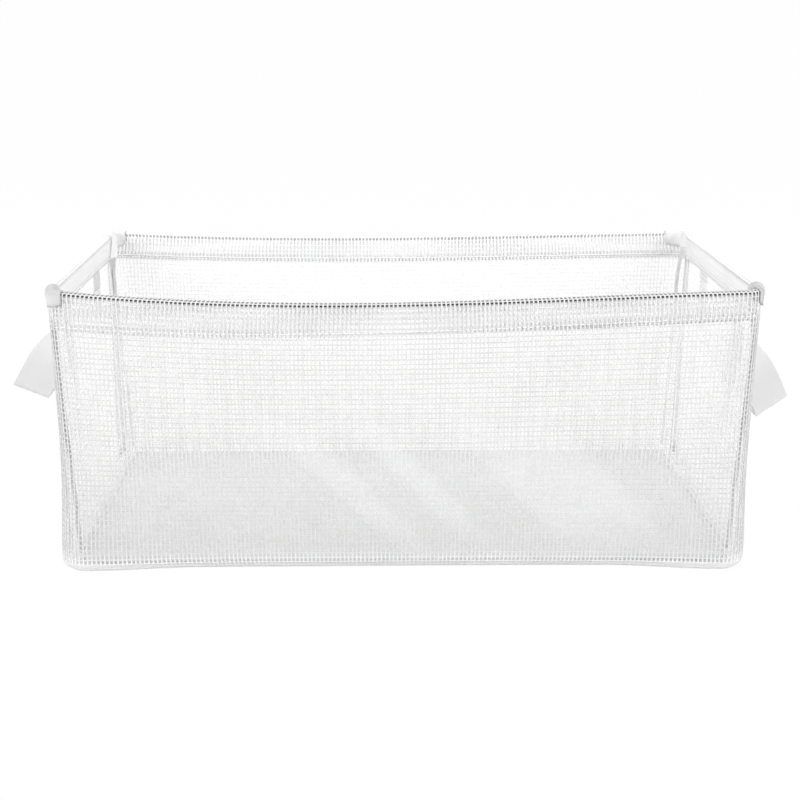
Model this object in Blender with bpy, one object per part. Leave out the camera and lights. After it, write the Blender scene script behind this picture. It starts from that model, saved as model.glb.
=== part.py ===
"""Collapsible storage bin of thread-reinforced clear vinyl hung on a steel wire frame.

The bag is five sheet panels and their seams. A rim wire runs in the hem round the mouth. Two U-shaped
wire end frames hook over the rim's end bars and fold inward. A loose board lies on the floor between
them, and a strap handle swings on each end wall.

Metres, +Z up, the length along X, the front towards -Y. The origin is under the middle of the bag, on
the surface that it stands on.
"""
import math

import bmesh
import bpy
from mathutils import Vector

# Bag sizes, over the outer faces of the sheet
RIM_LENGTH = 0.400
BAG_WIDTH = 0.214
RIM_HEIGHT = 0.165
END_LEAN = 0.002
SHEET = 0.0008
CLEARANCE = 0.0003

# Hem and rim wire
WIRE = 0.0024
RIM_WIRE_CORNER = 0.009
HEM_DEPTH = 0.018
FRONT_SAG = 0.0063
BACK_SAG = 0.003
SAG_LEAN_SHARE = 0.5

# Bottom of the bag
BASE_CORNER = 0.018
BASE_FILLET = 0.008
FLOOR_TURN = 0.014
BINDING_WIDTH = 0.008
BINDING_THICKNESS = 0.0029
BINDING_ROUND = 0.001

# Seams between the long walls and the end walls
SEAM_SETBACK = 0.014
NOTCH_CLEARANCE = 0.0005
TAPE_WIDTH = 0.008
TAPE_THICKNESS = 0.0005

# Loose base board
BOARD_END_GAP = 0.0105
BOARD_SIDE_GAP = 0.0055
BOARD_THICKNESS = 0.0032
BOARD_CORNER = 0.006
BOARD_EDGE_ROUND = 0.0006

# Folding end frames
BAR_SETBACK = 0.007
FRAME_BEND = 0.004
HOOK_WRAP = math.radians(250)

# Strap handles
STRAP_WIDTH = 0.022
STRAP_THICKNESS = 0.0012
HANDLE_LEG_PLACE = 0.049
HANDLE_STAND = 0.035
HANDLE_STANDOFF = 0.002
HINGE_DROP = 0.044
HINGE_GAP = 0.0008
TAB_DROP = 0.016
HANDLE_BEND = 0.006
TWIST_LENGTH = 0.022
HANDLE_DROPS = {"left": 0.031, "right": 0.039}
GRIP_TILTS = {"left": math.radians(22), "right": math.radians(40)}

# Sizes that follow from those above
BASE_LENGTH = RIM_LENGTH - 2 * END_LEAN
SEAM_PLACE = BAG_WIDTH / 2 - SEAM_SETBACK
FOLD_RADIUS = WIRE / 2 + CLEARANCE + SHEET / 2
WIRE_HEIGHT = RIM_HEIGHT - FOLD_RADIUS - SHEET / 2
FLAP_REST = SHEET + CLEARANCE
HOOK_RADIUS = WIRE + CLEARANCE
NOTCH = WIRE / 2 + NOTCH_CLEARANCE
BINDING_BOTTOM = SHEET + CLEARANCE
BOARD_BOTTOM = BINDING_BOTTOM + BINDING_THICKNESS + CLEARANCE
BOARD_LENGTH = BASE_LENGTH - 2 * BOARD_END_GAP
BOARD_WIDTH = BAG_WIDTH - 2 * BOARD_SIDE_GAP
BAR_HEIGHT = BOARD_BOTTOM + BOARD_THICKNESS + CLEARANCE + WIRE / 2
BAR_PLACE = BOARD_LENGTH / 2 + CLEARANCE + WIRE / 2
BAR_END_PLACE = BAG_WIDTH / 2 - BAR_SETBACK
HINGE_HEIGHT = RIM_HEIGHT - HINGE_DROP
TAB_TOP = RIM_HEIGHT - TAB_DROP

# Fineness of the meshes
FILLET_STEPS = 4
WALL_STEPS = 5
FOLD_STEPS = 6
FLAP_STEPS = 2
CORNER_STEPS = 5
LONG_STEPS = 16
END_STEPS = 4
HOOK_STEPS = 12
BEND_STEPS = 5
TWIST_STEPS = 10
WIRE_SIDES_RESOLUTION = 2
SMOOTH_ANGLE = math.radians(40)

COLOURS = {
    "sheet": ((0.93, 0.93, 0.93), 0.2, 0),
    "steel": ((0.35, 0.35, 0.36), 0.3, 1),
    "board": ((0.72, 0.72, 0.72), 0.6, 0),
    "strap": ((0.84, 0.84, 0.84), 0.7, 0),
    "tape": ((0.90, 0.90, 0.90), 0.5, 0),
}


def clear_scene():
    """Remove the objects that the scene starts with."""
    for item in list(bpy.data.objects):
        bpy.data.objects.remove(item, do_unlink=True)


def material_for(name, finish):
    """Make a piece's own Principled material."""
    colour, roughness, metallic = COLOURS[finish]
    material = bpy.data.materials.new(name)
    material.use_nodes = True
    shader = material.node_tree.nodes["Principled BSDF"]
    shader.inputs["Base Color"].default_value = (*colour, 1)
    shader.inputs["Roughness"].default_value = roughness
    shader.inputs["Metallic"].default_value = metallic
    return material


def add_object(name, data, finish, place=(0, 0, 0)):
    """Link mesh or curve data as a named piece, with its origin at the given place."""
    piece = bpy.data.objects.new(name, data)
    piece.location = place
    data.materials.append(material_for(name, finish))
    bpy.context.scene.collection.objects.link(piece)
    return piece


def mesh_from(bm, name, place=(0, 0, 0)):
    """Turn a bmesh into smooth mesh data whose own origin lies at the given place."""
    bmesh.ops.translate(bm, verts=bm.verts, vec=-Vector(place))
    mesh = bpy.data.meshes.new(name)
    bm.to_mesh(mesh)
    bm.free()
    mesh.shade_smooth()
    mesh.set_sharp_from_angle(angle=SMOOTH_ANGLE)
    return mesh


def thicken(piece, thickness):
    """Give a sheet its thickness, half to each side."""
    solidify = piece.modifiers.new("thickness", "SOLIDIFY")
    solidify.thickness = thickness
    solidify.offset = 0
    solidify.use_even_offset = True


def round_edges(piece, width):
    """Round a plate's sharp edges."""
    bevel = piece.modifiers.new("edges", "BEVEL")
    bevel.width = width
    bevel.segments = 2
    bevel.limit_method = "ANGLE"
    bevel.angle_limit = SMOOTH_ANGLE


def blend(start, end, share):
    """Value at a share of the way from start to end."""
    return start + (end - start) * share


def sag(x, y):
    """How far the rim hangs below its corners, deepest a little left of the middle."""
    half_length, _, corner = outline(WIRE_HEIGHT, 0)
    along = max(-1, min(1, x / (half_length - corner)))
    depth = FRONT_SAG if y < 0 else BACK_SAG
    return depth * (1 - along ** 2) * (1 - SAG_LEAN_SHARE * along)


def outline(height, inset):
    """Half length, half width and corner radius of the sheet's middle surface, drawn in by inset."""
    share = height / RIM_HEIGHT
    half_length = blend(BASE_LENGTH, RIM_LENGTH, share) / 2 - SHEET / 2 - inset
    half_width = BAG_WIDTH / 2 - SHEET / 2 - inset
    corner = blend(BASE_CORNER, RIM_WIRE_CORNER + FOLD_RADIUS, share) - inset
    return half_length, half_width, corner


def end_place(height, inset, y):
    """Distance of an end wall from the middle at a place across the bag, on its rounded corner too."""
    half_length, half_width, corner = outline(height, inset)
    over = max(0, abs(y) - (half_width - corner))
    return half_length - corner + math.sqrt(corner ** 2 - over ** 2)


def corner_arc(height, inset, start):
    """Points of one plan corner, from a place on the end wall round to the long wall."""
    half_length, half_width, corner = outline(height, inset)
    over = max(0, start - (half_width - corner))
    first = math.asin(over / corner)
    points = []
    for step in range(1, CORNER_STEPS + 1):
        angle = blend(first, math.pi / 2, step / CORNER_STEPS)
        x = half_length - corner + corner * math.cos(angle)
        y = half_width - corner + corner * math.sin(angle)
        points.append((x, y))
    return points


def closed_outline(half_length, half_width, corner, height):
    """Points round a whole rounded rectangle at one height, long sides divided."""
    points = []
    for quarter in range(4):
        sign_x = (1, -1, -1, 1)[quarter]
        sign_y = (1, 1, -1, -1)[quarter]
        centre = Vector((sign_x * (half_length - corner), sign_y * (half_width - corner), height))
        for step in range(CORNER_STEPS + 1):
            angle = math.pi / 2 * (quarter + step / CORNER_STEPS)
            points.append(centre + corner * Vector((math.cos(angle), math.sin(angle), 0)))
        if quarter in (0, 2):
            turn = half_length - corner
            for step in range(1, LONG_STEPS):
                along = sign_x * blend(turn, -turn, step / LONG_STEPS)
                points.append(Vector((along, sign_y * half_width, height)))
    return points


def wall_rows():
    """Profile of a wall from its turned-in bottom edge, up and over the rim wire, to the hem's edge.

    Each row has its height, its inset, the inset that its seam follows, and how much it sags.
    """
    rows = [(SHEET / 2, FLOOR_TURN, FLOOR_TURN, 0)]
    for step in range(FILLET_STEPS + 1):
        angle = math.pi / 2 * step / FILLET_STEPS
        height = SHEET / 2 + BASE_FILLET * (1 - math.cos(angle))
        inset = BASE_FILLET * (1 - math.sin(angle))
        rows.append((height, inset, inset, 0))
    foot = SHEET / 2 + BASE_FILLET
    hem_edge = RIM_HEIGHT - HEM_DEPTH
    for step in range(1, WALL_STEPS + 1):
        share = step / WALL_STEPS
        rows.append((blend(foot, hem_edge, share), 0, 0, share * hem_edge / RIM_HEIGHT))
    for step in range(FOLD_STEPS + 1):
        angle = math.pi * step / FOLD_STEPS
        height = WIRE_HEIGHT + FOLD_RADIUS * math.sin(angle)
        rows.append((height, FOLD_RADIUS * (1 - math.cos(angle)), 0, 1))
    for step in range(1, FLAP_STEPS + 1):
        share = step / FLAP_STEPS
        rows.append((blend(WIRE_HEIGHT, hem_edge, share), blend(2 * FOLD_RADIUS, FLAP_REST, share), 0, 1))
    return rows


def long_wall_points(side, height, inset, seam):
    """One row of a long wall: round a corner, along the wall, and round the other corner."""
    half_length, half_width, corner = outline(height, inset)
    half = [(end_place(height, inset, y), y) for y in (seam + CLEARANCE / 2, seam + NOTCH)]
    half.extend(corner_arc(height, inset, seam + NOTCH))
    turn = half_length - corner
    middle = [(blend(turn, -turn, step / LONG_STEPS), half_width) for step in range(1, LONG_STEPS)]
    mirrored = [(-x, y) for x, y in reversed(half)]
    return [(x, side * y) for x, y in half + middle + mirrored]


def end_wall_points(side, height, inset, seam):
    """One row of an end wall, from seam to seam."""
    inner = seam - NOTCH
    places = [-seam + CLEARANCE / 2]
    places.extend(blend(-inner, inner, step / END_STEPS) for step in range(END_STEPS + 1))
    places.append(seam - CLEARANCE / 2)
    return [(side * end_place(height, inset, y), y) for y in places]


def sheet_bmesh(rows):
    """Lay a grid through rows of points, each row with the same number of points."""
    columns = len(rows[0]) - 1
    steps = len(rows) - 1
    bm = bmesh.new()
    bmesh.ops.create_grid(bm, x_segments=columns, y_segments=steps, size=1)
    for vert in bm.verts:
        column = round((vert.co.x + 1) / 2 * columns)
        row = round((vert.co.y + 1) / 2 * steps)
        vert.co = rows[row][column]
    return bm


def cut_notches(bm, rows):
    """Cut the hem away round the two hooks: the first and last strip of faces above the hem's edge."""
    columns = len(rows[0]) - 1
    first_row = 1 + FILLET_STEPS + WALL_STEPS
    bm.faces.ensure_lookup_table()
    doomed = []
    for index, face in enumerate(bm.faces):
        row, column = divmod(index, columns)
        if row >= first_row and column in (0, columns - 1):
            doomed.append(face)
    bmesh.ops.delete(bm, geom=doomed, context="FACES")


def add_wall(name, points_of_row, side):
    """Make one wall panel, hemmed over the rim wire and turned in under the bag."""
    rows = []
    for height, inset, seam_inset, sagging in wall_rows():
        points = points_of_row(side, height, inset, SEAM_PLACE - seam_inset)
        rows.append([Vector((x, y, height - sagging * sag(x, y))) for x, y in points])
    bm = sheet_bmesh(rows)
    cut_notches(bm, rows)
    piece = add_object(name, mesh_from(bm, name), "sheet")
    thicken(piece, SHEET)


def add_floor():
    """Make the flat floor sheet inside the walls' turned-in edges."""
    half_length, half_width, corner = outline(0, FLOOR_TURN + CLEARANCE)
    bm = bmesh.new()
    ring = [bm.verts.new(point) for point in closed_outline(half_length, half_width, corner, SHEET / 2)]
    bm.faces.new(ring)
    piece = add_object("floor_mesh", mesh_from(bm, "floor_mesh"), "sheet")
    thicken(piece, SHEET)


def add_floor_binding():
    """Make the bound seam that joins the floor to the walls, a low roll inside the bag."""
    height = BINDING_BOTTOM + BINDING_THICKNESS / 2
    bm = bmesh.new()
    for inset in (FLOOR_TURN - BINDING_WIDTH / 2, FLOOR_TURN + BINDING_WIDTH / 2):
        half_length, half_width, corner = outline(0, inset)
        corner = max(corner, BINDING_ROUND)
        ring = [bm.verts.new(point) for point in closed_outline(half_length, half_width, corner, height)]
        for start, end in zip(ring, ring[1:] + ring[:1]):
            bm.edges.new((start, end))
    bmesh.ops.bridge_loops(bm, edges=bm.edges)
    piece = add_object("floor_binding", mesh_from(bm, "floor_binding"), "tape")
    thicken(piece, BINDING_THICKNESS)
    round_edges(piece, BINDING_ROUND)


def add_corner_tape(name, side_x, side_y):
    """Make the tape that covers one seam inside the bag, from the fillet to the hem."""
    inset = SHEET / 2 + CLEARANCE + TAPE_THICKNESS / 2
    foot = SHEET / 2 + BASE_FILLET
    head = RIM_HEIGHT - HEM_DEPTH - CLEARANCE
    rows = []
    for step in range(WALL_STEPS + 1):
        height = blend(foot, head, step / WALL_STEPS)
        row = []
        for column in range(END_STEPS + 1):
            y = SEAM_PLACE + blend(-TAPE_WIDTH, TAPE_WIDTH, column / END_STEPS) / 2
            row.append(Vector((side_x * end_place(height, inset, y), side_y * y, height)))
        rows.append(row)
    piece = add_object(name, mesh_from(sheet_bmesh(rows), name), "tape")
    thicken(piece, TAPE_THICKNESS)


def add_wire(name, points, closed, place=(0, 0, 0)):
    """Make a round wire along points, with flat ends where it isn't closed."""
    curve = bpy.data.curves.new(name, "CURVE")
    curve.dimensions = "3D"
    curve.bevel_depth = WIRE / 2
    curve.bevel_resolution = WIRE_SIDES_RESOLUTION
    curve.use_fill_caps = not closed
    spline = curve.splines.new("POLY")
    spline.points.add(len(points) - 1)
    spline.use_cyclic_u = closed
    for knot, point in zip(spline.points, points):
        knot.co = (*(point - Vector(place)), 1)
    add_object(name, curve, "steel", place)


def add_rim_wire():
    """Make the closed rim wire, whose long sides sag between the corners."""
    half_length, half_width, corner = outline(WIRE_HEIGHT, FOLD_RADIUS)
    points = closed_outline(half_length, half_width, corner, WIRE_HEIGHT)
    for point in points:
        point.z -= sag(point.x, point.y)
    add_wire("rim_wire", points, True)


def end_bar_place():
    """Distance of the rim's end bars from the middle, where the end frames hook on."""
    return outline(WIRE_HEIGHT, FOLD_RADIUS)[0]


def frame_leg(side_y):
    """One leg of the right end frame: hook over the rim bar, post, and the bend to the bottom bar."""
    hinge = Vector((end_bar_place(), side_y * SEAM_PLACE, WIRE_HEIGHT))
    points = []
    for step in range(HOOK_STEPS + 1):
        angle = HOOK_WRAP * (1 - step / HOOK_STEPS)
        points.append(hinge + HOOK_RADIUS * Vector((-math.cos(angle), 0, math.sin(angle))))
    corner = Vector((BAR_PLACE, side_y * BAR_END_PLACE, BAR_HEIGHT))
    up = (points[-1] - corner).normalized()
    inward = Vector((0, -side_y, 0))
    for step in range(BEND_STEPS + 1):
        angle = math.pi / 2 * step / BEND_STEPS
        bend = up * (1 - math.sin(angle)) + inward * (1 - math.cos(angle))
        points.append(corner + FRAME_BEND * bend)
    return points


def add_end_frame(name, side_x):
    """Make a U-shaped end frame that hangs by two hooks from the rim, with its origin on the rim bar."""
    front = frame_leg(-1)
    back = frame_leg(1)
    points = front + list(reversed(back))
    points = [Vector((side_x * point.x, point.y, point.z)) for point in points]
    add_wire(name, points, False, (side_x * end_bar_place(), 0, WIRE_HEIGHT))


def add_base_board():
    """Make the loose board that stiffens the floor, with its origin under its middle."""
    bm = bmesh.new()
    points = closed_outline(BOARD_LENGTH / 2, BOARD_WIDTH / 2, BOARD_CORNER, BOARD_BOTTOM)
    face = bm.faces.new([bm.verts.new(point) for point in points])
    top = bmesh.ops.extrude_face_region(bm, geom=[face])["geom"]
    lifted = [part for part in top if isinstance(part, bmesh.types.BMVert)]
    bmesh.ops.translate(bm, verts=lifted, vec=(0, 0, BOARD_THICKNESS))
    bmesh.ops.recalc_face_normals(bm, faces=bm.faces)
    place = (0, 0, BOARD_BOTTOM)
    piece = add_object("base_board", mesh_from(bm, "base_board", place), "board", place)
    round_edges(piece, BOARD_EDGE_ROUND)


def tab_place(height):
    """Distance from the middle of a strap's middle surface where it lies flat on an end wall."""
    return outline(height, 0)[0] + SHEET / 2 + CLEARANCE + STRAP_THICKNESS / 2


def hinge_place():
    """Distance from the middle of the line where a handle leaves its sewn ends."""
    return tab_place(HINGE_HEIGHT) + HANDLE_STANDOFF


def handle_grip(side):
    """Middle of the grip's strap, with its outer edge a set distance out from the wall."""
    tilt = GRIP_TILTS[side]
    reach = outline(HINGE_HEIGHT, 0)[0] + SHEET / 2 + HANDLE_STAND
    out = reach - (STRAP_WIDTH * math.cos(tilt) + STRAP_THICKNESS * math.sin(tilt)) / 2
    return Vector((out, 0, HINGE_HEIGHT - HANDLE_DROPS[side]))


def strap_piece(name, stations, sign, place):
    """Make a strap through stations, each a middle point and the direction of its width."""
    rows = []
    for point, across in stations:
        row = [point + across * blend(-STRAP_WIDTH, STRAP_WIDTH, share) / 2 for share in (0, 0.5, 1)]
        rows.append([Vector((sign * spot.x, spot.y, spot.z)) for spot in row])
    mesh = mesh_from(sheet_bmesh(rows), name, place)
    piece = add_object(name, mesh, "strap", place)
    thicken(piece, STRAP_THICKNESS)


def leg_stations(side, side_y):
    """Stations of one leg and its bend, from the hinge line to the start of the grip."""
    hinge = Vector((hinge_place(), side_y * HANDLE_LEG_PLACE, HINGE_HEIGHT))
    grip = handle_grip(side)
    down = grip - Vector((hinge_place(), 0, HINGE_HEIGHT))
    length = down.length
    down.normalize()
    flat = Vector((0, side_y, 0))
    turned = Vector((down.z, 0, -down.x))
    tilt = GRIP_TILTS[side]
    level = Vector((-math.cos(tilt), 0, -math.sin(tilt)))
    stations = []
    for step in range(TWIST_STEPS + 1):
        share = step / TWIST_STEPS
        twist = math.pi / 2 * share ** 2 * (3 - 2 * share)
        across = flat * math.cos(twist) + turned * math.sin(twist)
        stations.append((hinge + down * TWIST_LENGTH * share, across))
    bend_start = hinge + down * (length - HANDLE_BEND)
    for step in range(BEND_STEPS + 1):
        angle = math.pi / 2 * step / BEND_STEPS
        turn = down * math.sin(angle) - flat * (1 - math.cos(angle))
        across = turned.lerp(level, step / BEND_STEPS).normalized()
        stations.append((bend_start + HANDLE_BEND * turn, across))
    return stations


def add_handle(side, sign):
    """Make one moving strap loop, with its origin on its hinge line."""
    front = leg_stations(side, -1)
    back = leg_stations(side, 1)
    place = (sign * hinge_place(), 0, HINGE_HEIGHT)
    strap_piece(side + "_handle", front + list(reversed(back)), sign, place)


def add_handle_tab(side, end, sign, side_y):
    """Make one sewn end of a handle: flat on the wall, then leaning out to the hinge line."""
    start = Vector((hinge_place(), 0, HINGE_HEIGHT))
    down = (handle_grip(side) - start).normalized()
    tip = start - down * HINGE_GAP
    head = Vector((tab_place(TAB_TOP), 0, TAB_TOP))
    lean = (head.x - tab_place(tip.z)) / (head.z - tip.z)
    knee = tip - down * (tip.x - tab_place(tip.z)) / (down.x - lean * down.z)
    across = Vector((0, 1, 0))
    shift = Vector((0, side_y * HANDLE_LEG_PLACE, 0))
    stations = [(point + shift, across) for point in (head, knee, tip)]
    strap_piece("_".join((side, "handle", end, "tab")), stations, sign, (0, 0, 0))


def build():
    """Make every piece of the bin."""
    clear_scene()
    add_rim_wire()
    add_wall("front_wall", long_wall_points, -1)
    add_wall("back_wall", long_wall_points, 1)
    add_wall("left_wall", end_wall_points, -1)
    add_wall("right_wall", end_wall_points, 1)
    add_floor()
    add_floor_binding()
    add_base_board()
    for side, sign in (("left", -1), ("right", 1)):
        add_end_frame(side + "_frame", sign)
        add_handle(side, sign)
        for end, side_y in (("front", -1), ("back", 1)):
            add_corner_tape("_".join(("corner_tape", end, side)), sign, side_y)
            add_handle_tab(side, end, sign, side_y)


build()
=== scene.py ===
"""Collapsible storage bin of thread-reinforced clear vinyl on a folding wire frame.

The bag is made as its maker makes it: panels of clear film over a grid of white threads, hemmed over a
steel rim wire, with taped seams, a bound floor, a loose board and a webbing strap on each end.

Metres in the part's own frame: +X along the length to the right, +Y to the back, +Z up.
"""
import math

import bmesh
import bpy
from mathutils import Matrix, Vector, noise


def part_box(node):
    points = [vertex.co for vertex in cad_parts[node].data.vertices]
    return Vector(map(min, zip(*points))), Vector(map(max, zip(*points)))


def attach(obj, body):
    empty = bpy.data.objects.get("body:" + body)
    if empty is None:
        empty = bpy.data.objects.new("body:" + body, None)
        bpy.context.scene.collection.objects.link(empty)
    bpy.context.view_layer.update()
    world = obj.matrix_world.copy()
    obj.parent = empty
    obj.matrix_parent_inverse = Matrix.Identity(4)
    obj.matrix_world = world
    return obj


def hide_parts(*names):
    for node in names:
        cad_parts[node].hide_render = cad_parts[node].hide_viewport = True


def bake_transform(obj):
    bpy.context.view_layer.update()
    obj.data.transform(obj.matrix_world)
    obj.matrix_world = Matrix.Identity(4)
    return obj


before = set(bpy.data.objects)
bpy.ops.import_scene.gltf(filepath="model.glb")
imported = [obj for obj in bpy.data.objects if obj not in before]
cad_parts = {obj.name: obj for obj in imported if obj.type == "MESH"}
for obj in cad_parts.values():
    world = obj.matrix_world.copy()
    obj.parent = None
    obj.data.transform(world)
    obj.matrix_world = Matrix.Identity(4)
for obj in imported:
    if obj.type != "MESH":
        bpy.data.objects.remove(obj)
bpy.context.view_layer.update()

MM = 0.001

# The bag's outer sizes, read from its packed walls
RIM_LENGTH = 2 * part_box("right_wall")[1].x
BAG_WIDTH = 2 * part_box("back_wall")[1].y
RIM_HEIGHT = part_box("right_wall")[1].z
BASE_LENGTH = RIM_LENGTH - 4 * MM
SHEET = 0.8 * MM
CLEARANCE = 0.3 * MM

# Hem and wire
WIRE = 2.4 * MM
FOLD_RADIUS = WIRE / 2 + CLEARANCE + SHEET / 2
WIRE_HEIGHT = RIM_HEIGHT - FOLD_RADIUS - SHEET / 2
RIM_CORNER = 9 * MM + FOLD_RADIUS
FRONT_SAG = 6.3 * MM
BACK_SAG = 3 * MM
SAG_LEAN_SHARE = 0.5
FLAP_REST = 1.6 * MM
FLAP_SETTLES = 14 * MM
FRONT_HEM_DEPTHS = (23 * MM, 17 * MM)
HEM_DEPTHS = (18 * MM, 18 * MM)
HEM_TURN = 4.5 * MM
HEM_STITCH_RISE = 2.5 * MM

# Bottom of the bag, whose fillet narrows towards a seam between the two distances of FILLET_EASE
BASE_CORNER = 18 * MM
BASE_FILLET = 8 * MM
CORNER_FILLET = 5 * MM
FILLET_EASE = (80 * MM, 30 * MM)
FLOOR_TURN = 14 * MM
FOOT = SHEET / 2 + BASE_FILLET
BASE_PUSHES = {
    (-1, -1): Vector((-3.5, -3.5, 0)) * MM,
    (1, -1): Vector((1.5, -6, 0)) * MM,
    (-1, 1): Vector((-1.5, 1, 0)) * MM,
    (1, 1): Vector((1, 1.5, 0)) * MM,
}
PUSH_REACH = 55 * MM
PUSH_HEIGHT = 40 * MM
BINDING_WIDTH = 8 * MM
BINDING_BOTTOM = SHEET + CLEARANCE
BINDING_THICKNESS = 2.9 * MM

# The walls' slack: how far they stand out of their plain shape, over what lengths, and how near a seam
SLACK = 2 * MM
SLACK_WAVES = (70 * MM, 60 * MM)
FRONT_SWELL = 1.5 * MM
FRONT_SWELL_PLACE = 150 * MM
FRONT_SWELL_REACH = 50 * MM
END_SWELL = 1.2 * MM
SEAM_HOLD = 24 * MM

# Seams beside the corners, notched round the end frames' hooks
SEAM_PLACE = BAG_WIDTH / 2 - 14 * MM
NOTCH = WIRE / 2 + 0.5 * MM
TAPE_WIDTH = 8 * MM
TAPE_THICKNESS = 0.5 * MM
TAPE_SEAM_SHARE = 0.3
SLEEVE_WIDTH = 12 * MM

# How far from its hook each rim corner's tape starts and ends, and how much of its length each sleeve hangs
CAP_START = 2 * MM
CAP_ENDS = {(-1, -1): 15.5 * MM, (-1, 1): 17 * MM, (1, -1): 9 * MM, (1, 1): 21 * MM}
SLEEVE_DROP_SHARES = {(-1, -1): 1, (-1, 1): 1, (1, -1): 1, (1, 1): 0.5}

# End frames
HOOK_RADIUS = WIRE + CLEARANCE
HOOK_WRAP = math.radians(250)
BAR_CORNER = Vector((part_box("base_board")[1].x + CLEARANCE + WIRE / 2, BAG_WIDTH / 2 - 7 * MM, 0))
BAR_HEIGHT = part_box("base_board")[1].z + CLEARANCE + WIRE / 2
FRAME_BEND = 4 * MM
FLARE_START = 4 * MM
FLARE_LENGTH = 24 * MM
FLARES = {
    (-1, -1): Vector((2.3, 4.4, 0)) * MM,
    (-1, 1): Vector((2.6, 2.5, 0)) * MM,
    (1, -1): Vector((2.3, 4, 0)) * MM,
    (1, 1): Vector((-1.4, 0, 0)) * MM,
}

# The laminated cloth
UPRIGHT_PITCH = 2.4 * MM
LEVEL_PITCH = 3.0 * MM
UPRIGHT_WIDTH = 0.85 * MM
LEVEL_WIDTH = 0.7 * MM
THREAD_THICKNESS = 0.24 * MM
THREAD_LIFT = 0.12 * MM
FILM_THICKNESS = 0.64 * MM
THREAD_STRAY = 0.12 * MM
CLOTH_STEP = 6 * MM
CORNER_STEP = 2.4 * MM
WELD = 0.01 * MM

# Painted sheen across the front film: milky streaks in place of its gloss. Where each crosses the floor's
# level, how they lean and wander, and the heights between which they set in and fade
SHEEN_STREAKS = ((7 * MM, 26 * MM), (52 * MM, 71 * MM), (109 * MM, 172 * MM))
STREAK_LEAN = 0.98
STREAK_WANDER = 10 * MM
STREAK_EDGE = 4.5 * MM
STREAK_FOOT = (12 * MM, 36 * MM)
STREAK_HEAD = (70 * MM, 105 * MM)
STREAK_SHEEN = 0.11

# Painted light on the front film: milkier zones that lighten the shade seen through it at its foot and low
# down. Heights between which its haze changes, and the haze below and above
FRONT_PAINTED_HAZES = ((2 * MM, 5 * MM, 0.25, 0), (5 * MM, 16 * MM, 0.11, 0), (55 * MM, 78 * MM, 0.09, 0))

# The hem's haze, painted light that lightens the shade between its layers, which sets in and ends between
# these places below the wire, in millimetres of cloth
HEM_PAINTED_HAZE = 0.08
HEM_HAZE_START = (20, 17)
HEM_HAZE_END = (6, 3)
HEM_HAZE_SPAN = 200

# The steel: heights below which the frames' back posts take up the bag's white as painted light, and the rim
# wire's under side, painted light where it lies on the cloth, in millimetres above its axis
PAINTED_STEEL_LIGHT = (100 * MM, 130 * MM)
PAINTED_UNDER_LIGHT = (-0.75, -0.45)

# The front's threads: painted shade makes them greyer below the first heights, and painted light makes them
# lighter below the second
LOW_THREADS = (50 * MM, 80 * MM)
LOW_PAINTED_SHADE = 0.9
FOOT_THREADS = (5 * MM, 11 * MM)
FOOT_PAINTED_LIGHT = 0.24

# Strap handles
STRAP_WIDTH = 22 * MM
STRAP_THICKNESS = 1.2 * MM
HANDLE_LEG_PLACE = 49 * MM
TAB_TOP = RIM_HEIGHT - 16 * MM
HANDLE_BEND = 6 * MM
STRAP_LEAVES = {"left": 137 * MM, "right": 130 * MM}
STRAP_FALLS = {"left": math.radians(60), "right": math.radians(65)}
GRIP_PLACES = {"left": (224.9 * MM, 91.3 * MM), "right": (224 * MM, 81.3 * MM)}
GRIP_TILTS = {"left": math.radians(22), "right": math.radians(36)}
STRAP_LEAD = Vector((2 * MM, 0, -8 * MM))
TWIST_SHARE = 0.85

# Sewing thread
STITCH_LENGTH = 2.6 * MM
STITCH_GAP = 0.9 * MM
STITCH_WIDTH = 0.55 * MM
BOX_MARGIN = 2.5 * MM
BOX_FOOT = 1 * MM
BOX_HEAD = 1.5 * MM

# The photograph's camera, found from the rim's, board's and posts' corners
FOCAL_LENGTH = 65.565
SENSOR_WIDTH = 36
CAMERA_PLACE = Vector((-20 * MM, -897 * MM, 322 * MM))
CAMERA_PITCH = math.radians(15.51)
CAMERA_YAW = math.radians(1.19)
CAMERA_ROLL = math.radians(0.12)


def blend(start, end, share):
    """Value at a share of the way from start to end."""
    return start + (end - start) * share


def smooth(share):
    """Ease a share in and out."""
    share = max(0, min(1, share))
    return share * share * (3 - 2 * share)


def bump(offset, width):
    """A soft hill one high, width wide to each side."""
    return math.exp(-(offset / width) ** 2)


# Shape of the bag


def outline(height, inset):
    """Half length, half width and corner radius of the sheet's middle surface, drawn in by inset."""
    share = height / RIM_HEIGHT
    half_length = blend(BASE_LENGTH, RIM_LENGTH, share) / 2 - SHEET / 2 - inset
    half_width = BAG_WIDTH / 2 - SHEET / 2 - inset
    corner = blend(BASE_CORNER, RIM_CORNER, share) - inset
    return half_length, half_width, corner


def sag(x, y):
    """How far the rim hangs below its corners, deepest a little left of the middle."""
    half_length, _, corner = outline(WIRE_HEIGHT, 0)
    along = max(-1, min(1, x / (half_length - corner)))
    depth = FRONT_SAG if y < 0 else BACK_SAG
    return depth * (1 - along ** 2) * (1 - SAG_LEAN_SHARE * along)


def end_place(height, inset, y):
    """Distance of an end wall from the middle at a place across the bag, on its rounded corner too."""
    half_length, half_width, corner = outline(height, inset)
    over = max(0, abs(y) - (half_width - corner))
    return half_length - corner + math.sqrt(max(0, corner ** 2 - over ** 2))


def corner_push(spot, height, inset):
    """How the slack bottom corners stand out of the plain outline."""
    push = Vector()
    for (sign_x, sign_y), reach in BASE_PUSHES.items():
        corner = Vector((sign_x * BASE_LENGTH / 2, sign_y * BAG_WIDTH / 2, 0))
        push += reach * bump((spot - corner).length, PUSH_REACH)
    return push * bump(height, PUSH_HEIGHT) * smooth((FLOOR_TURN - inset) / BASE_FILLET)


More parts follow.
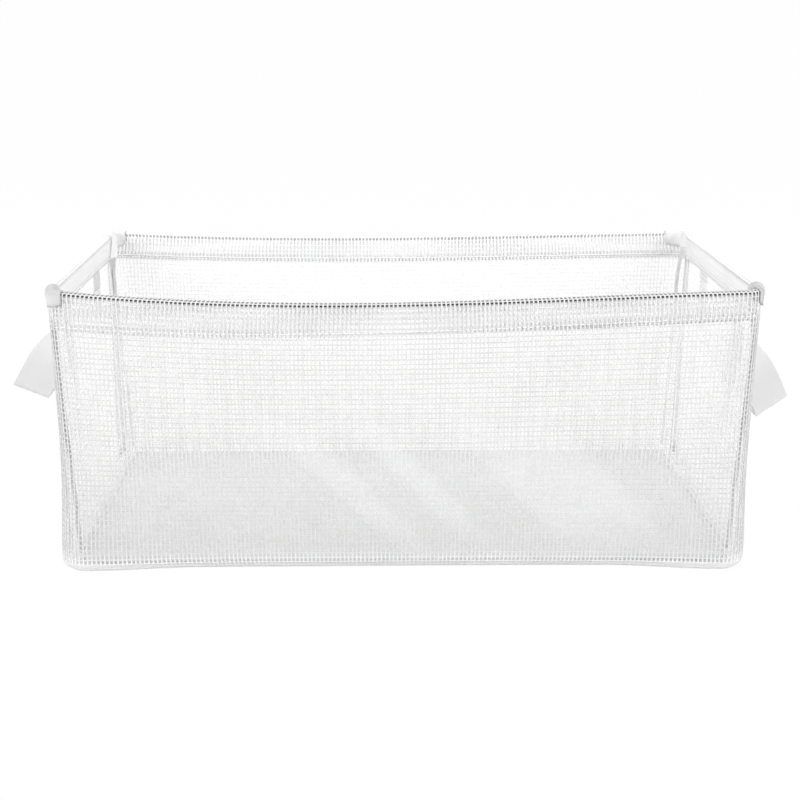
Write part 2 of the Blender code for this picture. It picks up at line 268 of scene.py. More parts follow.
class Wall:
    """One wall panel, and where each place on its cloth lies.

    A place is along, from the panel's middle towards its seams; up, from the rim wire's height down to
    the edge turned in under the bag (below zero) or over the wire and down the hem's flap (above zero);
    and out from the sheet's middle.
    """

    FOLD_END = FOLD_RADIUS * math.pi

    def __init__(self, name, side, is_long, hem_depths=HEM_DEPTHS):
        self.name = name
        self.side = side
        self.is_long = is_long
        self.hem_depths = hem_depths
        self.half_span = self.reach(RIM_HEIGHT / 2)
        self.facing = side if not is_long else -side

    def reach(self, height):
        """Length of cloth from the panel's middle to its seam at one height."""
        if not self.is_long:
            return SEAM_PLACE - CLEARANCE / 2
        half_length, half_width, corner = outline(height, 0)
        seam = SEAM_PLACE + CLEARANCE / 2
        over = max(0, seam - (half_width - corner))
        arc = corner * (math.pi / 2 - math.asin(over / corner))
        return half_length - corner + arc + max(0, half_width - corner - seam)

    def hem_depth(self, along):
        """Depth of the hem below the rim's top, which may differ from end to end."""
        return blend(*self.hem_depths, (along / self.half_span + 1) / 2)

    def landmarks(self, along):
        """Places up the cloth: its lower edge, both ends of the fillet, the hem and the flap's end."""
        start, end = (self.half_span - reach for reach in FILLET_EASE)
        near_corner = smooth((abs(along) - start) / (end - start))
        fillet = blend(BASE_FILLET, CORNER_FILLET, near_corner)
        fillet_end = SHEET / 2 + fillet - WIRE_HEIGHT
        fillet_start = fillet_end - fillet * math.pi / 2
        edge = fillet_start - (FLOOR_TURN - fillet)
        hem = RIM_HEIGHT - WIRE_HEIGHT - self.hem_depth(along)
        return fillet, edge, fillet_start, fillet_end, hem, self.FOLD_END - hem

    def profile(self, along, up):
        """Height, inset, the inset that the seam follows, and the share of the rim's sag."""
        fillet, edge, fillet_start, fillet_end, hem, flap_end = self.landmarks(along)
        if up < fillet_start:
            inset = fillet + fillet_start - up
            return SHEET / 2, inset, inset, 0
        if up < fillet_end:
            angle = (up - fillet_start) / fillet
            inset = fillet * (1 - math.sin(angle))
            return SHEET / 2 + fillet * (1 - math.cos(angle)), inset, inset, 0
        if up < 0:
            return WIRE_HEIGHT + up, 0, 0, 1 - up / fillet_end
        if up < self.FOLD_END:
            angle = up / FOLD_RADIUS
            height = WIRE_HEIGHT + FOLD_RADIUS * math.sin(angle)
            return height, FOLD_RADIUS * (1 - math.cos(angle)), 0, 1
        down = min(up, 2 * flap_end - up) - self.FOLD_END
        rest = FLAP_REST if up < flap_end else FLAP_REST / 2
        inset = blend(2 * FOLD_RADIUS, rest, min(1, down / FLAP_SETTLES))
        return WIRE_HEIGHT - down, inset, 0, 1 + down / fillet_end

    def plan(self, along, height, inset, seam_inset):
        """Place in plan on the panel, and the direction out of it."""
        share = along / self.half_span
        if not self.is_long:
            y = share * (SEAM_PLACE - CLEARANCE / 2 - seam_inset)
            return Vector((self.side * end_place(height, inset, y), y, 0)), Vector((self.side, 0, 0))
        half_length, half_width, corner = outline(height, inset)
        seam = SEAM_PLACE + CLEARANCE / 2 - seam_inset
        straight = half_length - corner
        over = max(0, seam - (half_width - corner))
        arc = corner * (math.pi / 2 - math.asin(min(1, over / corner)))
        reach = abs(share) * (straight + arc + max(0, half_width - corner - seam))
        if reach <= straight:
            spot, away = (reach, half_width), (0, 1)
        elif reach <= straight + arc:
            angle = math.pi / 2 - (reach - straight) / corner
            away = (math.cos(angle), math.sin(angle))
            spot = (straight + corner * away[0], half_width - corner + corner * away[1])
        else:
            spot, away = (half_length, half_width - corner - (reach - straight - arc)), (1, 0)
        sign = math.copysign(1, share)
        point = Vector((sign * spot[0], self.side * spot[1], 0))
        return point, Vector((sign * away[0], self.side * away[1], 0))

    def swell(self, along, height):
        """How far the slack cloth stands out of its plain shape: none at the rim and at the seams."""
        from_seam = smooth((self.half_span - abs(along)) / SEAM_HOLD)
        hang = math.sin(math.pi * min(1, height / WIRE_HEIGHT)) ** 0.8
        seed = 3 * self.side + (7 if self.is_long else 0)
        wave = noise.noise(Vector((along / SLACK_WAVES[0], height / SLACK_WAVES[1], seed)))
        out = SLACK * wave * hang
        if self.name == "front_wall":
            out += FRONT_SWELL * hang * bump(along - FRONT_SWELL_PLACE, FRONT_SWELL_REACH)
        elif not self.is_long:
            out += END_SWELL * hang
        return out * from_seam

    def place(self, along, up):
        """Point on the sheet's middle surface."""
        height, inset, seam_inset, sagging = self.profile(along, up)
        spot, away = self.plan(along, height, inset, seam_inset)
        point = spot + away * self.swell(along, height) + corner_push(spot, height, inset)
        point.z = height - sagging * sag(spot.x, spot.y)
        return point

    def point(self, along, up, out=0):
        """Point at a distance out from the sheet's middle surface."""
        step = 0.2 * MM
        across = self.place(along + step, up) - self.place(along - step, up)
        rise = self.place(along, up + step) - self.place(along, up - step)
        return self.place(along, up) + self.facing * out * across.cross(rise).normalized()

    def ups(self, along):
        """Places up the cloth where it is divided."""
        _, edge, fillet_start, fillet_end, hem, flap_end = self.landmarks(along)
        stops = [edge]
        stops += [blend(fillet_start, fillet_end, step / FILLET_STEPS) for step in range(FILLET_STEPS)]
        stops += [blend(fillet_end, hem, step / WALL_STEPS) for step in range(WALL_STEPS)]
        stops += [hem, hem / 2]
        stops += [self.FOLD_END * step / FOLD_STEPS for step in range(FOLD_STEPS)]
        stops += [blend(self.FOLD_END, flap_end, step / FLAP_STEPS) for step in range(FLAP_STEPS + 1)]
        return stops + [flap_end + HEM_TURN]

    def alongs(self):
        """Places along the cloth where it is divided: close together round a corner."""
        turn = self.half_span - (30 * MM if self.is_long else 10 * MM)
        wide = math.ceil(2 * turn / CLOTH_STEP)
        close = math.ceil((self.half_span - NOTCH - turn) / CORNER_STEP)
        stops = [-self.half_span, -self.half_span + NOTCH]
        stops += [blend(-self.half_span + NOTCH, -turn, step / close) for step in range(1, close)]
        stops += [blend(-turn, turn, step / wide) for step in range(wide + 1)]
        stops += [blend(turn, self.half_span - NOTCH, step / close) for step in range(1, close)]
        return stops + [self.half_span - NOTCH, self.half_span]

    def rows_at(self, along):
        """Number of rows that the cloth keeps here: fewer at a hook's notch."""
        return HEM_ROW if self.half_span - abs(along) < NOTCH else LAST_ROW


FILLET_STEPS = 4
WALL_STEPS = 16
FOLD_STEPS = 7
FLAP_STEPS = 3
HEM_ROW = 1 + FILLET_STEPS + WALL_STEPS
FLAP_ROW = HEM_ROW + 2 + FOLD_STEPS
LAST_ROW = FLAP_ROW + FLAP_STEPS + 1
WALLS = [
    Wall("front_wall", -1, True, FRONT_HEM_DEPTHS),
    Wall("back_wall", 1, True),
    Wall("left_wall", -1, False),
    Wall("right_wall", 1, False),
]


# Making pieces


def add_object(name, data):
    """Put a mesh, a curve, a lamp or a camera in the scene."""
    thing = bpy.data.objects.new(name, data)
    bpy.context.scene.collection.objects.link(thing)
    return thing


def add_mesh(name, bm, material):
    """Turn a bmesh into a smooth-shaded object."""
    mesh = bpy.data.meshes.new(name)
    bm.to_mesh(mesh)
    bm.free()
    mesh.shade_smooth()
    mesh.materials.append(material)
    return add_object(name, mesh)


def finish_piece(name, bm, material, body, thickness=0, sharp=40):
    """Turn a bmesh into a finished piece that rides on a body."""
    piece = add_mesh(name, bm, material)
    if sharp:
        piece.data.set_sharp_from_angle(angle=math.radians(sharp))
    if thickness:
        solidify = piece.modifiers.new("thickness", "SOLIDIFY")
        solidify.thickness = thickness
        solidify.offset = 0
    if body:
        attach(piece, body)
    return piece


def lay_grid(bm, columns, rows, place):
    """Lay a grid of faces: place(column, row) gives each point. The UV map is in millimetres of cloth."""
    made = bmesh.ops.create_grid(bm, x_segments=columns, y_segments=rows, size=1)
    uv = bm.loops.layers.uv.verify()
    for vert in made["verts"]:
        column = round((vert.co.x + 1) / 2 * columns)
        row = round((vert.co.y + 1) / 2 * rows)
        vert.co, spread = place(column, row)
        for loop in vert.link_loops:
            loop[uv].uv = spread


def add_stitch(bm, start, end, out):
    """Add one stitch, a rounded thread lying from start to end on a surface that faces out."""
    along = end - start
    side = out.cross(along).normalized()
    turned = Matrix((along.normalized(), side, along.normalized().cross(side))).transposed().to_4x4()
    size = Matrix.Diagonal((along.length / 2, STITCH_WIDTH / 2, STITCH_WIDTH / 2, 1))
    matrix = Matrix.Translation((start + end) / 2) @ turned @ size
    bmesh.ops.create_uvsphere(bm, u_segments=6, v_segments=4, radius=1, matrix=matrix)


def add_seam(bm, path, length, lift):
    """Run stitches along a path: path(distance, lift) gives a point."""
    count = int(length / (STITCH_LENGTH + STITCH_GAP))
    pitch = length / max(1, count)
    for index in range(count):
        start = index * pitch + STITCH_GAP / 2
        end = start + pitch - STITCH_GAP
        low = path(start, lift)
        add_stitch(bm, low, path(end, lift), path(start, 2 * lift) - low)


# Materials


def principled(name, colour, roughness, metallic=0):
    """Make a material and return it with its node tree and its shader."""
    material = bpy.data.materials.new(name)
    material.use_nodes = True
    tree = material.node_tree
    shader = tree.nodes["Principled BSDF"]
    shader.inputs["Base Color"].default_value = (*colour, 1)
    shader.inputs["Roughness"].default_value = roughness
    shader.inputs["Metallic"].default_value = metallic
    return material, tree, shader


def coordinates(tree, source, scale=(1, 1, 1)):
    """A Mapping node on the piece's Object or UV coordinates."""
    origin = tree.nodes.new("ShaderNodeTexCoord")
    mapping = tree.nodes.new("ShaderNodeMapping")
    mapping.inputs["Scale"].default_value = scale
    tree.links.new(origin.outputs[source], mapping.inputs["Vector"])
    return mapping.outputs["Vector"]


def noise_at(tree, vector, scale, detail=3):
    """A Noise Texture's value."""
    texture = tree.nodes.new("ShaderNodeTexNoise")
    texture.inputs["Scale"].default_value = scale
    texture.inputs["Detail"].default_value = detail
    tree.links.new(vector, texture.inputs["Vector"])
    return texture.outputs["Fac"]


def waves_at(tree, vector, direction, scale, distortion=0):
    """A Wave Texture's value."""
    texture = tree.nodes.new("ShaderNodeTexWave")
    texture.bands_direction = direction
    texture.inputs["Scale"].default_value = scale
    texture.inputs["Distortion"].default_value = distortion
    tree.links.new(vector, texture.inputs["Vector"])
    return texture.outputs["Fac"]


def map_range(tree, value, **limits):
    """A value mapped between limits, such as From_Min."""
    node = tree.nodes.new("ShaderNodeMapRange")
    for name, limit in limits.items():
        node.inputs[name.replace("_", " ")].default_value = limit
    tree.links.new(value, node.inputs["Value"])
    return node.outputs["Result"]


def ramp(tree, value, low, high, dark, light):
    """Spread a value between two colours, or between two plain numbers."""
    node = tree.nodes.new("ShaderNodeValToRGB")
    for element, position, colour in zip(node.color_ramp.elements, (low, high), (dark, light)):
        element.position = position
        element.color = (*colour, 1) if isinstance(colour, tuple) else (colour, colour, colour, 1)
    tree.links.new(value, node.inputs["Fac"])
    return node.outputs["Color"]


def emboss(tree, shader, value, distance):
    """Raise the surface by a value."""
    node = tree.nodes.new("ShaderNodeBump")
    node.inputs["Distance"].default_value = distance
    tree.links.new(value, node.inputs["Height"])
    tree.links.new(node.outputs["Normal"], shader.inputs["Normal"])


def maths(tree, operation, first, second):
    """A Math node's result, each input a number or a socket."""
    node = tree.nodes.new("ShaderNodeMath")
    node.operation = operation
    for socket, value in zip(node.inputs, (first, second)):
        if isinstance(value, (int, float)):
            socket.default_value = value
        else:
            tree.links.new(value, socket)
    return node.outputs["Value"]


def separate(tree, vector):
    """A vector's X, Y and Z sockets."""
    node = tree.nodes.new("ShaderNodeSeparateXYZ")
    tree.links.new(vector, node.inputs["Vector"])
    return node.outputs


def mix_values(tree, first, second, share):
    """Two values mixed, the first by its share."""
    first = maths(tree, "MULTIPLY", first, share)
    return maths(tree, "ADD", first, maths(tree, "MULTIPLY", second, 1 - share))


def yarn_material(name, dark, light, painted_low_shade=1):
    """Twisted polyester yarn under the film: plies slant across it, and its white varies a little.

    With a painted low shade it is greyer low down, as painted shade, and lighter again where it turns under
    the bag, as painted light.
    """
    material, tree, shader = principled(name, light, 0.45)
    emboss(tree, shader, waves_at(tree, coordinates(tree, "UV"), "DIAGONAL", 0.9), 0.012 * MM)
    vector = coordinates(tree, "Object")
    white = ramp(tree, noise_at(tree, vector, 60), 0.3, 0.7, dark, light)
    if painted_low_shade < 1:
        # Painted shade low down, and painted light at the foot
        height = separate(tree, vector)["Z"]
        shade = ramp(tree, height, *LOW_THREADS, painted_low_shade, 1)
        white = maths(tree, "MULTIPLY", white, shade)
        foot = ramp(tree, height, *FOOT_THREADS, FOOT_PAINTED_LIGHT, 0)
        white = maths(tree, "ADD", white, foot)
    tree.links.new(white, shader.inputs["Base Color"])
    shader.inputs["Sheen Weight"].default_value = 0.1
    return material


def painted_sheen_streaks(tree, vector):
    """Slanting streaks of painted sheen across the front film, each with soft edges."""
    place = separate(tree, vector)
    slant = maths(tree, "MULTIPLY", place["Z"], STREAK_LEAN)
    across = maths(tree, "ADD", place["X"], slant)
    wander = maths(tree, "MULTIPLY", noise_at(tree, vector, 18, 2), STREAK_WANDER)
    across = maths(tree, "ADD", across, wander)
    low, high = SHEEN_STREAKS[0][0] - 2 * STREAK_EDGE, SHEEN_STREAKS[-1][1] + 2 * STREAK_EDGE
    band = map_range(tree, across, From_Min=low + STREAK_WANDER / 2, From_Max=high + STREAK_WANDER / 2)
    stripes = tree.nodes.new("ShaderNodeValToRGB")
    marks = stripes.color_ramp.elements
    marks[0].color = (0, 0, 0, 1)
    marks[1].color = (0, 0, 0, 1)
    for start, end in SHEEN_STREAKS:
        rise = ((start - STREAK_EDGE, 0), (start + STREAK_EDGE, 1))
        fall = ((end - STREAK_EDGE, 1), (end + STREAK_EDGE, 0))
        for mark, value in rise + fall:
            marks.new((mark - low) / (high - low)).color = (value, value, value, 1)
    tree.links.new(band, stripes.inputs["Fac"])
    foot = ramp(tree, place["Z"], *STREAK_FOOT, 0, 1)
    head = ramp(tree, place["Z"], *STREAK_HEAD, 1, 0)
    strength = maths(tree, "MULTIPLY", foot, head)
    strength = maths(tree, "MULTIPLY", strength, stripes.outputs["Color"])
    return maths(tree, "MULTIPLY", strength, STREAK_SHEEN)


def add_front_painted_light(tree, vector, haze):
    """Add the front film's painted sheen streaks, and the painted light of its milkier foot, lower half and
    hem.
    """
    haze = maths(tree, "ADD", haze, painted_sheen_streaks(tree, vector))
    height = separate(tree, vector)["Z"]
    for start, end, below, above in FRONT_PAINTED_HAZES:
        haze = maths(tree, "ADD", haze, ramp(tree, height, start, end, below, above))
    cloth = coordinates(tree, "UV", (1, 1 / HEM_HAZE_SPAN, 1))
    up = maths(tree, "ADD", separate(tree, cloth)["Y"], 1)
    for operation, depths in (("ADD", HEM_HAZE_START), ("SUBTRACT", HEM_HAZE_END)):
        start, end = (1 - depth / HEM_HAZE_SPAN for depth in depths)
        haze = maths(tree, operation, haze, ramp(tree, up, start, end, 0, HEM_PAINTED_HAZE))
    return haze


def film_material(name, clear, milky, is_front=False):
    """Clear vinyl: glossy, and a little milky where it has been folded and rubbed."""
    material, tree, shader = principled(name, (0.97, 0.972, 0.975), 0.16)
    shader.inputs["IOR"].default_value = 1.53
    vector = coordinates(tree, "Object")
    haze = ramp(tree, noise_at(tree, vector, 14, 4), 0.35, 0.75, clear, milky)
    if is_front:
        haze = add_front_painted_light(tree, vector, haze)
    tree.links.new(haze, shader.inputs["Alpha"])
    emboss(tree, shader, noise_at(tree, vector, 90, 2), 0.12 * MM)
    return material


def steel_material(name, front, back, low, under=0):
    """Bright drawn wire, with painted shade that darkens it towards the front and painted light that gives it
    the bag's white low down at the back.

    In the hem its under side has painted light, the white of the cloth, which lies against it there.
    """
    material, tree, shader = principled(name, (front, front, front), 0.3, 1)
    vector = coordinates(tree, "Object")
    place = separate(tree, vector)
    # Painted shade towards the front, painted light low down at the back
    depth = map_range(tree, place["Y"], From_Min=-BAG_WIDTH / 2, From_Max=BAG_WIDTH / 2)
    shade = ramp(tree, depth, 0.1, 0.9, front, back)
    white = maths(tree, "MULTIPLY", ramp(tree, place["Z"], *PAINTED_STEEL_LIGHT, low - back, 0), depth)
    shade = maths(tree, "ADD", shade, white)
    # Painted light on the rim wire's under side
    if under:
        half = WIRE / 2 / MM
        rise = separate(tree, coordinates(tree, "UV"))["X"]
        rise = maths(tree, "ADD", rise, half)
        start, end = (half + height for height in PAINTED_UNDER_LIGHT)
        shade = maths(tree, "MAXIMUM", shade, ramp(tree, rise, start, end, under, 0))
    cloud = ramp(tree, noise_at(tree, vector, 130), 0.3, 0.7, 0.9, 1.1)
    tree.links.new(maths(tree, "MULTIPLY", shade, cloud), shader.inputs["Base Color"])
    emboss(tree, shader, noise_at(tree, vector, 900), 0.02 * MM)
    return material


def board_material():
    """Fibreboard in a pale grey non-woven wrap: flecks of fibre over a soft cloudiness."""
    material, tree, shader = principled("board_wrap", (0.70, 0.70, 0.70), 0.6)
    vector = coordinates(tree, "Object")
    flecks = noise_at(tree, vector, 1100, 4)
    mixed = mix_values(tree, flecks, noise_at(tree, vector, 22, 2), 0.6)
    colour = ramp(tree, mixed, 0.35, 0.65, (0.65, 0.65, 0.653), (0.69, 0.69, 0.693))
    tree.links.new(colour, shader.inputs["Base Color"])
    emboss(tree, shader, flecks, 0.08 * MM)
    return material


def webbing_material(name, dark, light, rib):
    """Woven webbing or tape: ribs across its width, finer yarns along it."""
    material, tree, shader = principled(name, light, 0.7)
    vector = coordinates(tree, "UV")
    ribs = waves_at(tree, vector, "Y", rib, 0.6)
    yarns = waves_at(tree, vector, "X", 1.6 * rib, 0.4)
    weave = maths(tree, "MULTIPLY", ribs, yarns)
    mixed = mix_values(tree, weave, noise_at(tree, vector, 3), 0.5)
    tree.links.new(ramp(tree, mixed, 0.15, 0.7, dark, light), shader.inputs["Base Color"])
    emboss(tree, shader, weave, 0.18 * MM)
    shader.inputs["Sheen Weight"].default_value = 0.2
    return material


# Lit and shaded copies of one white yarn: the front wall's own threads are painted grey as shade; those of
# the flaps, the other walls and the floor are painted white as light
SHADED_YARN = yarn_material("yarn", (0.63, 0.632, 0.635), (0.68, 0.68, 0.682), LOW_PAINTED_SHADE)
LIT_YARN = yarn_material("yarn_painted_light", (0.97, 0.97, 0.971), (0.99, 0.99, 0.99))
FILM = film_material("vinyl_film", 0.03, 0.09)
# The end walls' film is milkier, as painted light over the shade seen through them
END_FILM = film_material("vinyl_film_ends", 0.08, 0.16)
FRONT_FILM = film_material("vinyl_film_front", 0.02, 0.05, is_front=True)
# Copies of one steel wire: the rim's is painted nearly black at the front as shade, with painted light on its
# under side; the frames' is lighter
RIM_STEEL = steel_material("rim_steel", 0.01, 0.62, 0.62, 0.8)
FRAME_STEEL = steel_material("frame_steel", 0.55, 0.8, 0.95)
BOARD = board_material()
WEBBING = webbing_material("strap_webbing", (0.67, 0.67, 0.675), (0.8, 0.8, 0.805), 0.5)
# Shaded and lit copies of one white tape: the front rim corners' tape is painted grey as shade; the seam
# tapes, the binding and the back rim corners' tape are painted white as light
SHADED_TAPE = webbing_material("seam_tape", (0.6, 0.6, 0.603), (0.67, 0.67, 0.672), 0.7)
LIT_TAPE = webbing_material("seam_tape_painted_light", (0.9, 0.9, 0.902), (0.96, 0.96, 0.961), 0.7)
SEWING = yarn_material("sewing_thread", (0.86, 0.86, 0.863), (0.93, 0.93, 0.933))


# The bag's panels


def thread_stray(index, spread):
    """A thread's own small departure from the even grid."""
    return spread * noise.noise(Vector((index * 0.37, spread / MM, 0.5)))


def upright_threads(bm, wall, on_flap):
    """Threads that run from the bottom edge up the wall and over the rim, or from there down the flap."""
    count = int(wall.half_span / UPRIGHT_PITCH)
    for index in range(-count, count + 1):
        middle = index * UPRIGHT_PITCH + thread_stray(index, THREAD_STRAY)
        if abs(middle) > wall.half_span - UPRIGHT_WIDTH / 2:
            continue
        ups = wall.ups(middle)[:wall.rows_at(abs(middle) + UPRIGHT_WIDTH / 2) + 1]
        ups = ups[FLAP_ROW:] if on_flap else ups[:FLAP_ROW + 1]
        if len(ups) < 2:
            continue

        def place(column, row):
            along = middle + (column - 0.5) * UPRIGHT_WIDTH
            return wall.point(along, ups[row], THREAD_LIFT), (column * UPRIGHT_WIDTH / MM, ups[row] / MM)

        lay_grid(bm, 1, len(ups) - 1, place)


def level_threads(bm, wall, on_flap):
    """Threads that run from seam to seam, on the wall or on the hem's flap and its turned edge."""
    stops = wall.alongs()
    low, high = wall.ups(stops[0])[0], max(wall.ups(stops[0])[-1], wall.ups(stops[-1])[-1])
    for index in range(1, int((high - low) / LEVEL_PITCH) + 1):
        up = low + index * LEVEL_PITCH - LEVEL_PITCH / 2 + thread_stray(index, 2 * THREAD_STRAY)
        if on_flap != (up > wall.FOLD_END):
            continue
        alongs = []
        for stop in stops:
            ups = wall.ups(stop)
            if ups[0] + LEVEL_WIDTH / 2 < up < ups[wall.rows_at(stop)] - LEVEL_WIDTH / 2:
                alongs.append(stop)
        if len(alongs) < 2:
            continue

        def place(column, row):
            height = up + (row - 0.5) * LEVEL_WIDTH
            return wall.point(alongs[column], height, -THREAD_LIFT), (height / MM, alongs[column] / MM)

        lay_grid(bm, len(alongs) - 1, 1, place)


def add_film(wall, material):
    """The clear vinyl that the threads lie in, one sheet from the turned-in edge to the hem's edge."""
    stops = wall.alongs()
    rows = [wall.ups(stop) for stop in stops]

    def place(column, row):
        along, up = stops[column], rows[column][row]
        return wall.place(along, up), (along / MM, up / MM)

    bm = bmesh.new()
    columns = len(stops) - 1
    lay_grid(bm, columns, LAST_ROW, place)
    bm.faces.ensure_lookup_table()
    cut = []
    for index, face in enumerate(bm.faces):
        row, column = divmod(index, columns)
        if row >= wall.rows_at((stops[column] + stops[column + 1]) / 2):
            cut.append(face)
    bmesh.ops.delete(bm, geom=cut, context="FACES")
    return finish_piece(wall.name + "_film", bm, material, "basket", FILM_THICKNESS)


def add_hem_stitches(wall):
    """The running seam that holds the hem."""
    bm = bmesh.new()
    half = wall.half_span - (SLEEVE_WIDTH if wall.is_long else 2 * NOTCH)

    def path(distance, lift):
        along = distance - half
        up = RIM_HEIGHT - wall.hem_depth(along) + HEM_STITCH_RISE - WIRE_HEIGHT
        return wall.point(along, up, lift)

    add_seam(bm, path, 2 * half, FILM_THICKNESS / 2)
    return finish_piece(wall.name + "_hem_stitches", bm, SEWING, "basket", sharp=0)


def add_wall(wall):
    """One wall panel: the threads of its wall and of its flap, film and hem seam."""
    is_front = wall.name == "front_wall"
    for part, on_flap in (("_threads", False), ("_flap_threads", True)):
        bm = bmesh.new()
        upright_threads(bm, wall, on_flap)
        level_threads(bm, wall, on_flap)
        # The front's own threads take the yarn with painted shade, the others the yarn with painted light
        yarn = SHADED_YARN if is_front and not on_flap else LIT_YARN
        finish_piece(wall.name + part, bm, yarn, "basket", THREAD_THICKNESS, sharp=0)
    film = add_film(wall, {"front_wall": FRONT_FILM, "back_wall": FILM}.get(wall.name, END_FILM))
    stitches = add_hem_stitches(wall)
    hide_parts(wall.name)
    ups = wall.ups(0)


def corner_ring(height, inset, steps=6, long_steps=16):
    """Points round a whole rounded rectangle at one height."""
    half_length, half_width, corner = outline(height, inset)
    points = []
    for quarter in range(4):
        sign_x = (1, -1, -1, 1)[quarter]
        sign_y = (1, 1, -1, -1)[quarter]
        centre = Vector((sign_x * (half_length - corner), sign_y * (half_width - corner), height))
        for step in range(steps + 1):
            angle = math.pi / 2 * (quarter + step / steps)
            points.append(centre + corner * Vector((math.cos(angle), math.sin(angle), 0)))
        if quarter in (0, 2):
            for step in range(1, long_steps):
                along = sign_x * blend(1, -1, step / long_steps) * (half_length - corner)
                points.append(Vector((along, sign_y * half_width, height)))
    return points


def add_floor_sheet():
    """The floor of the same cloth, inside the walls' turned-in edges."""
    half_length, half_width, corner = outline(0, FLOOR_TURN + CLEARANCE)
    bm = bmesh.new()
    for pitch, width, turned in ((UPRIGHT_PITCH, UPRIGHT_WIDTH, False), (LEVEL_PITCH, LEVEL_WIDTH, True)):
        side, reach = (half_width, half_length) if turned else (half_length, half_width)
        count = int((side - width) / pitch)
        for index in range(-count, count + 1):
            middle = index * pitch
            over = max(0, abs(middle) - (side - corner))
            end = reach - corner + math.sqrt(corner ** 2 - over ** 2)
            lift = SHEET / 2 + (-THREAD_LIFT if turned else THREAD_LIFT)

            def place(column, row):
                across = middle + (column - 0.5) * width
                along = (row / 2 - 1) * end
                spot = Vector((along, across, lift)) if turned else Vector((across, along, lift))
                return spot, (column * width / MM, along / MM)

            lay_grid(bm, 1, 4, place)
    bmesh.ops.recalc_face_normals(bm, faces=bm.faces)
    # The floor's threads lie in shade under the board and take the yarn with painted light
    threads = finish_piece("floor_threads", bm, LIT_YARN, "basket", THREAD_THICKNESS, sharp=0)
    bm = bmesh.new()
    ring = [bm.verts.new(point) for point in corner_ring(SHEET / 2, FLOOR_TURN + CLEARANCE)]
    bm.faces.new(ring)
    film = finish_piece("floor_film", bm, FILM, "basket", FILM_THICKNESS)
    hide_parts("floor_mesh")


def add_floor_binding():
    """The rolled tape that binds the floor to the walls."""
    steps = 8
    rings = []
    for step in range(steps):
        angle = 2 * math.pi * step / steps
        inset = FLOOR_TURN + math.cos(angle) * BINDING_WIDTH / 2
        height = BINDING_BOTTOM + (1 + math.sin(angle)) * BINDING_THICKNESS / 2
        ring = corner_ring(0, min(inset, BASE_CORNER - MM))
        rings.append([Vector((point.x, point.y, height)) for point in ring])
    count = len(rings[0])

    def place(column, row):
        return rings[row % steps][column % count], (row * 2, column * 6)

    bm = bmesh.new()
    lay_grid(bm, count, steps, place)
    bmesh.ops.remove_doubles(bm, verts=bm.verts, dist=WELD)
    bmesh.ops.recalc_face_normals(bm, faces=bm.faces)
    # The binding lies in shade under the walls and takes the tape with painted light
    piece = finish_piece("floor_binding_tape", bm, LIT_TAPE, "basket")
    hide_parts("floor_binding")


def add_corner_tapes():
    """The tapes over the seams inside the bag, each with two rows of stitches."""
    inset = SHEET / 2 + CLEARANCE + TAPE_THICKNESS / 2
    head = RIM_HEIGHT - max(HEM_DEPTHS) - CLEARANCE
    rows, columns = 16, 6
    for end, side_y in (("front", -1), ("back", 1)):
        for side, side_x in (("left", -1), ("right", 1)):

            def spot(across, height, drop=0):
                y = SEAM_PLACE + across
                return Vector((side_x * end_place(height, inset + drop, y), side_y * y, height))

            def place(column, row):
                across = blend(-TAPE_WIDTH, TAPE_WIDTH, column / columns) / 2
                height = blend(FOOT, head, row / rows)
                return spot(across, height), (across / MM, height / MM)

            name = "_".join(("corner_tape", end, side))
            bm = bmesh.new()
            lay_grid(bm, columns, rows, place)
            piece = finish_piece(name + "_tape", bm, LIT_TAPE, "basket", TAPE_THICKNESS)
            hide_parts(name)
            bm = bmesh.new()
            for across in (-TAPE_SEAM_SHARE * TAPE_WIDTH, TAPE_SEAM_SHARE * TAPE_WIDTH):

                def path(distance, lift):
                    return spot(across, FOOT + distance, lift)

                add_seam(bm, path, head - FOOT, TAPE_THICKNESS / 2)
            finish_piece(name + "_stitches", bm, SEWING, "basket", sharp=0)


def rim_place(side_x, side_y, distance):
    """Place on the rim wire's axis at a distance from a hook towards the long side, and the way out of it."""
    half_length, half_width, corner = outline(WIRE_HEIGHT, FOLD_RADIUS)
    centre = Vector((half_length - corner, half_width - corner, 0))
    straight = centre.y - SEAM_PLACE
    angle = max(0, min(math.pi / 2, (distance - straight) / corner))
    away = Vector((math.cos(angle), math.sin(angle), 0))
    spot = centre + corner * away
    spot.y -= max(0, straight - distance)
    spot.x -= max(0, distance - straight - corner * math.pi / 2)
    spot.z = WIRE_HEIGHT - sag(side_x * spot.x, side_y * spot.y)
    return Vector((side_x * spot.x, side_y * spot.y, spot.z)), Vector((side_x * away.x, side_y * away.y, 0))


def over_rim(radius):
    """Top of a profile that goes over the rim wire, from outside to inside."""
    angles = [math.pi * step / 8 for step in range(9)]
    return [(radius * math.cos(angle), radius * math.sin(angle)) for angle in angles]


